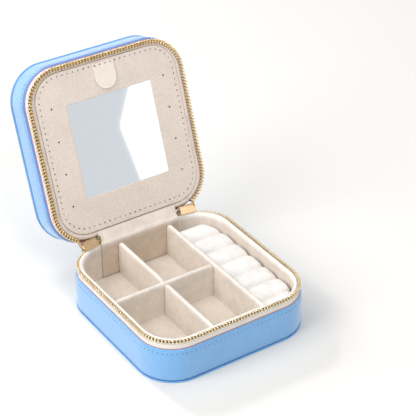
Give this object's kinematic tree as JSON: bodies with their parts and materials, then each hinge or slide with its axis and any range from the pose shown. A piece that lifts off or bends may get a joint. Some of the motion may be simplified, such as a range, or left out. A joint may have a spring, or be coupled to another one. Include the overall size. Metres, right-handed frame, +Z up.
{
  "type": "travel jewelry case",
  "caption": "Square zip-round jewelry case, shown open: leather-covered base and lid, gold-toothed zip, mirror flap, divided tray and ring holder.",
  "frame": {"origin": "centre of the underside of the base", "axes": "+X to the right along the lid's hinge, +Y from the front of the case to its hinge side, +Z up; the lid stands open"},
  "size_m": [0.1014, 0.1571, 0.1225],
  "materials": {
    "leather_blue": "satin, fine pebble grain",
    "leather_cream": "satin, fine pebble grain",
    "velvet_cream": "matte short-pile velvet",
    "zip_tape": "matte woven tape",
    "zip_teeth": "polished",
    "slider_gold": "polished",
    "greyboard": "raw",
    "foam": "matte",
    "mirror_glass": "polished"
  },
  "bodies": {
    "base": {"base_bottom_cover": "leather_blue", "base_bottom_board": "greyboard", "base_side_cover": "leather_blue", "base_side_board": "greyboard", "base_lining_wall": "velvet_cream", "base_floor_lining": "velvet_cream", "base_zip_tape": "zip_tape", "base_zip_teeth": "zip_teeth", "zip_end_left": "zip_teeth", "zip_end_right": "zip_teeth", "divider_long": "velvet_cream", "divider_cross": "velvet_cream", "divider_back": "velvet_cream", "divider_front": "velvet_cream", "ring_board": "greyboard", "ring_back_block": "velvet_cream", "ring_roll_1": "velvet_cream", "ring_roll_2": "velvet_cream", "ring_roll_3": "velvet_cream", "ring_roll_4": "velvet_cream", "ring_roll_5": "velvet_cream", "ring_roll_6": "velvet_cream", "ring_front_block": "velvet_cream", "hinge_cover": "leather_blue", "hinge_lining": "velvet_cream"},
    "lid": {"lid_side_cover": "leather_blue", "lid_side_board": "greyboard", "lid_top_cover": "leather_blue", "lid_padding": "foam", "lid_top_board": "greyboard", "lid_lining_wall": "velvet_cream", "lid_back_lining": "velvet_cream", "lid_zip_tape": "zip_tape", "lid_zip_teeth": "zip_teeth", "flap_hinge_strip": "velvet_cream"},
    "flap": {"flap_cover": "leather_cream", "flap_board": "greyboard", "flap_back": "velvet_cream", "flap_mirror": "mirror_glass", "flap_pull_tab": "leather_cream"},
    "slider_left": {"slider_left": "slider_gold"},
    "slider_right": {"slider_right": "slider_gold"},
    "pull_left": {"pull_left": "slider_gold"},
    "pull_right": {"pull_right": "slider_gold"}
  },
  "joints": [
    {"name": "lid_hinge", "type": "hinge", "parent": "base", "child": "lid", "pos_m": [0, 0.051, 0.027], "axis": [-1, 0, 0], "range_deg": [-109.8, 0], "deforming": ["hinge_cover", "hinge_lining"]},
    {"name": "flap_hinge", "type": "hinge", "parent": "lid", "child": "flap", "pos_m": [0, 0.05344, 0.0326], "axis": [1, 0, 0], "range_deg": [0, 75]},
    {"name": "slider_left_travel", "type": "hinge", "parent": "base", "child": "slider_left", "pos_m": [-0.0288, 0.0298, 0.0265], "axis": [0, 0, 1], "range_deg": [0, 80]},
    {"name": "slider_right_travel", "type": "hinge", "parent": "base", "child": "slider_right", "pos_m": [0.0288, 0.0298, 0.0265], "axis": [0, 0, -1], "range_deg": [0, 80]},
    {"name": "pull_left_swing", "type": "hinge", "parent": "slider_left", "child": "pull_left", "pos_m": [-0.03278, 0.05357, 0.0265], "axis": [0.9863, 0.165, 0], "range_deg": [0, 45]},
    {"name": "pull_right_swing", "type": "hinge", "parent": "slider_right", "child": "pull_right", "pos_m": [0.03278, 0.05357, 0.0265], "axis": [0.9863, -0.165, 0], "range_deg": [0, 45]}
  ]
}
